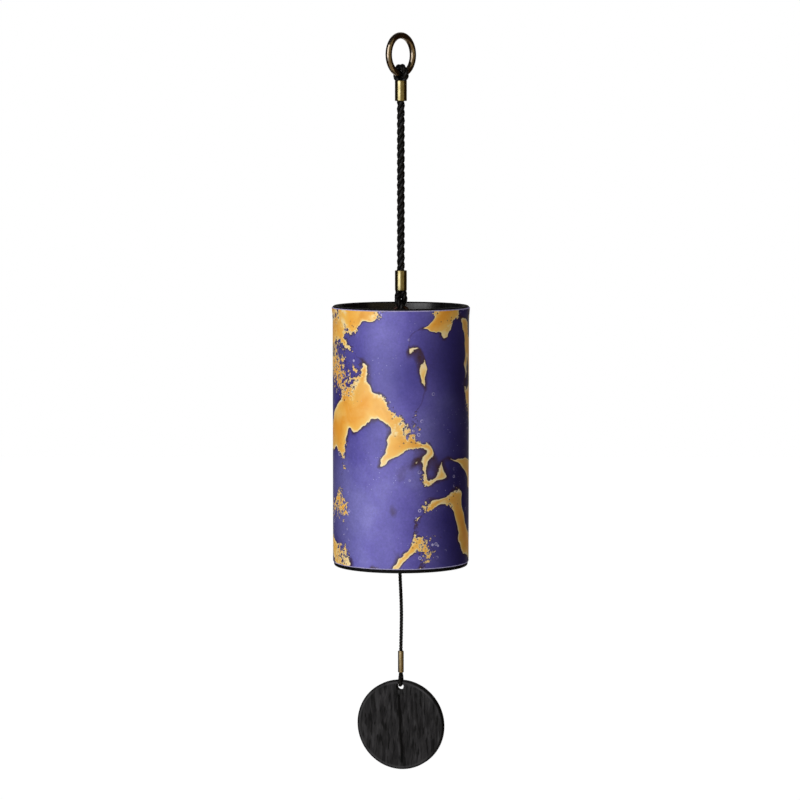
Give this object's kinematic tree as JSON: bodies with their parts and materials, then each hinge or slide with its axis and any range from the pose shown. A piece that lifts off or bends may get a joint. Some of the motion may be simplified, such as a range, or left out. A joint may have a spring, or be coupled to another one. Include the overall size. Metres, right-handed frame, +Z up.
{
  "type": "hanging tube wind chime",
  "caption": "Hanging tube chime: a printed tube with tuned rods on an inner plate, a striker hung among them, a wooden wind sail below, and a rope hanger with a ring.",
  "frame": {"origin": "where a hook carries the part: the inside top of the hanging ring's wire", "axes": "+Z up along the rope, -Y towards the viewer of the picture, +X to the viewer's right"},
  "size_m": [0.0638, 0.0638, 0.3421],
  "materials": {
    "bronze": "dark antique bronze, worn bright on the curve",
    "brass": "aged brass, satin",
    "copper": "coppered wire, satin",
    "steel": "drawn steel, satin",
    "cord": "black twisted cord, slight sheen",
    "black_lacquer": "bamboo veneer with satin black lacquer",
    "print": "satin printed sheet, violet with gold marbling",
    "pale_wood": "turned wood, waxed",
    "black_wood": "black-stained wood with open grain, matt"
  },
  "bodies": {
    "ring": {"hanging_ring": "bronze"},
    "rope": {"rope_upper_eye": "cord", "upper_ferrule": "brass", "hanger_rope": "cord"},
    "rope_end": {"lower_ferrule": "brass", "rope_lower_eye": "cord"},
    "resonator": {"eye_bolt": "copper", "upper_washer": "steel", "chime_plate": "steel", "lower_washer": "steel", "plate_nut": "steel", "chime_rod_1": "steel", "chime_rod_2": "steel", "chime_rod_3": "steel", "chime_rod_4": "steel", "chime_rod_5": "steel", "chime_rod_6": "steel", "chime_rod_7": "steel", "chime_rod_8": "steel", "resonator_tube": "black_lacquer", "printed_wrap": "print"},
    "striker_hanger": {"striker_loop": "cord", "loop_bead": "brass"},
    "striker": {"striker_cord": "cord", "striker_disc": "pale_wood"},
    "sail_stop": {"stop_bead": "brass"},
    "sail_line": {"sail_cord": "cord"},
    "sail_end": {"sail_ferrule": "brass", "sail_loop": "cord"},
    "sail": {"wind_sail": "black_wood"}
  },
  "joints": [
    {"name": "rope_swing", "type": "hinge", "parent": "ring", "child": "rope", "pos_m": [0, 0, -0.0161], "axis": [0.6293, 0.7771, 0], "range_deg": [-80, 80]},
    {"name": "rope_twist", "type": "hinge", "parent": "rope", "child": "rope_end", "pos_m": [0, 0, -0.11095], "axis": [0, 0, 1], "range_deg": [-180, 180]},
    {"name": "tube_swing", "type": "hinge", "parent": "rope_end", "child": "resonator", "pos_m": [0, 0, -0.1232], "axis": [1, 0, 0], "range_deg": [-75, 75]},
    {"name": "striker_swing_x", "type": "hinge", "parent": "resonator", "child": "striker_hanger", "pos_m": [0, 0, -0.1448], "axis": [1, 0, 0], "range_deg": [-6.5, 6.5]},
    {"name": "striker_swing_y", "type": "hinge", "parent": "striker_hanger", "child": "striker", "pos_m": [0, 0, -0.1546], "axis": [0, 1, 0], "range_deg": [-8, 8]},
    {"name": "sail_swing_x", "type": "hinge", "parent": "striker", "child": "sail_stop", "pos_m": [0, 0, -0.2004], "axis": [1, 0, 0], "range_deg": [-8, 8]},
    {"name": "sail_swing_y", "type": "hinge", "parent": "sail_stop", "child": "sail_line", "pos_m": [0, 0, -0.2004], "axis": [0, 1, 0], "range_deg": [-8, 8]},
    {"name": "sail_twist", "type": "hinge", "parent": "sail_line", "child": "sail_end", "pos_m": [0, 0, -0.28825], "axis": [0, 0, 1], "range_deg": [-180, 180]},
    {"name": "sail_rock", "type": "hinge", "parent": "sail_end", "child": "sail", "pos_m": [0, 0, -0.29935], "axis": [0.309, 0.9511, 0], "range_deg": [-35, 35]}
  ]
}
